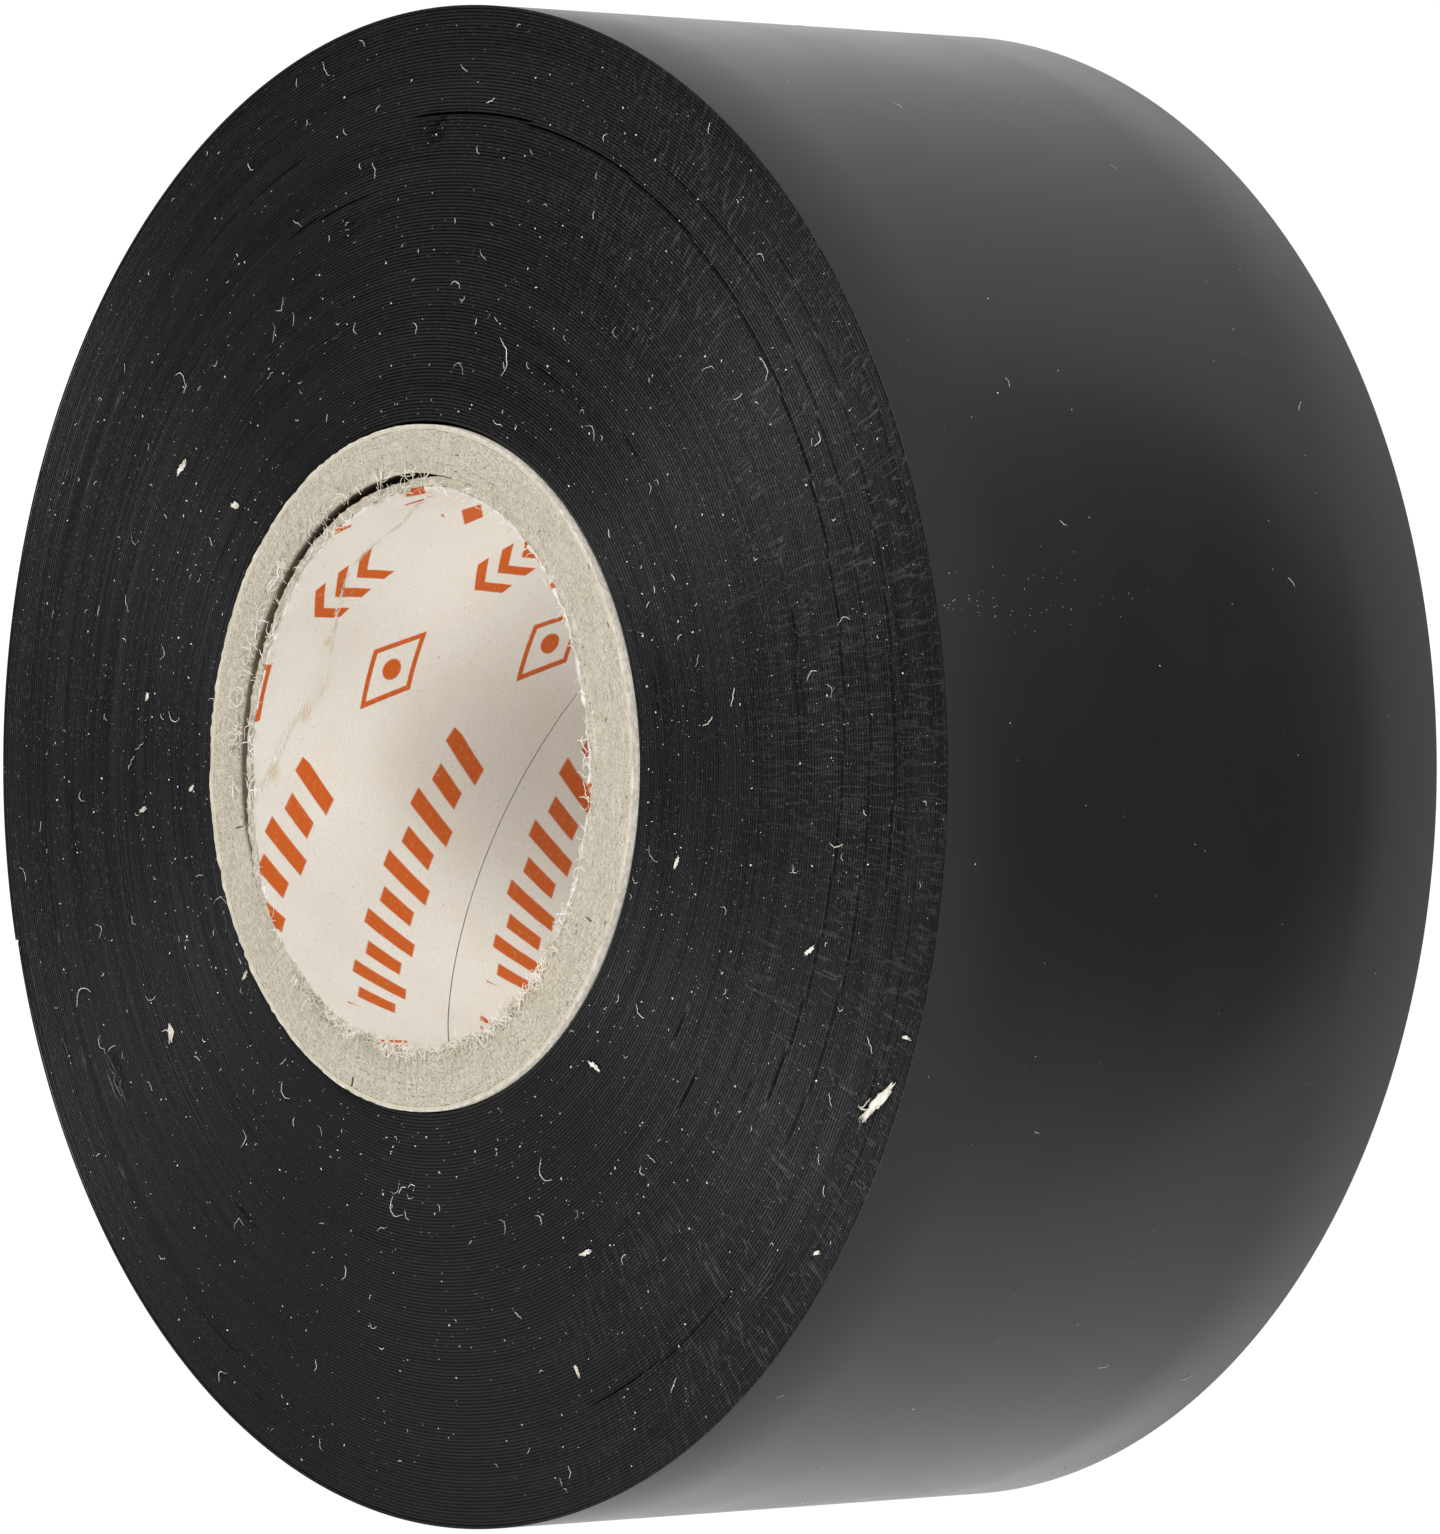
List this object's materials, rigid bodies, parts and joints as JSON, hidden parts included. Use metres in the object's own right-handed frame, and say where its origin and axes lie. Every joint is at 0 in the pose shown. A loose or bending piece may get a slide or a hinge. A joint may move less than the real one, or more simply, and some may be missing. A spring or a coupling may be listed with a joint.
{
  "type": "electrical tape roll",
  "caption": "Roll of black PVC insulating tape on a spiral-wound paper core, with a free end that peels off the outer turn.",
  "frame": {"origin": "on the roll's axis, in the plane of the back face that the roll rests on (centre of the bounding box's bottom)", "axes": "+Z along the roll's axis, from the back face that it rests on towards the front face that the core has crept out of; the tape's free end is near +Y"},
  "size_m": [0.0715, 0.0715, 0.0318],
  "materials": {
    "pvc_tape": "satin black soft PVC film",
    "tape_edges": "knife-cut edges of wound black PVC tape",
    "greyboard": "matte recycled greyboard paper",
    "white_wrap": "matte off-white kraft paper",
    "printed_liner": "matte white paper with an orange printed pattern"
  },
  "bodies": {
    "roll": {"core_printed_liner": "printed_liner", "core_inner_ply": "greyboard", "core_board_ply_1": "greyboard", "core_board_ply_2": "greyboard", "core_board_ply_3": "greyboard", "core_board_ply_4": "greyboard", "core_outer_wrap": "white_wrap", "tape_winding": "tape_edges", "tape_last_turn": "pvc_tape"},
    "end_root": {"free_end_root": "pvc_tape"},
    "end_middle": {"free_end_middle": "pvc_tape"},
    "end_tip": {"free_end_tip": "pvc_tape"}
  },
  "joints": [
    {"name": "peel_root", "type": "hinge", "parent": "roll", "child": "end_root", "pos_m": [0.01338, 0.03311, 0.015], "axis": [0, 0, -1], "range_deg": [0, 40]},
    {"name": "peel_middle", "type": "hinge", "parent": "end_root", "child": "end_middle", "pos_m": [0.0062, 0.03517, 0.015], "axis": [0, 0, -1], "range_deg": [0, 40]},
    {"name": "peel_tip", "type": "hinge", "parent": "end_middle", "child": "end_tip", "pos_m": [-0.00125, 0.0357, 0.015], "axis": [0, 0, -1], "range_deg": [0, 40]}
  ],
  "couplings": [
    {"joint": "peel_middle", "follows": "peel_root", "ratio": 1},
    {"joint": "peel_tip", "follows": "peel_root", "ratio": 1}
  ]
}
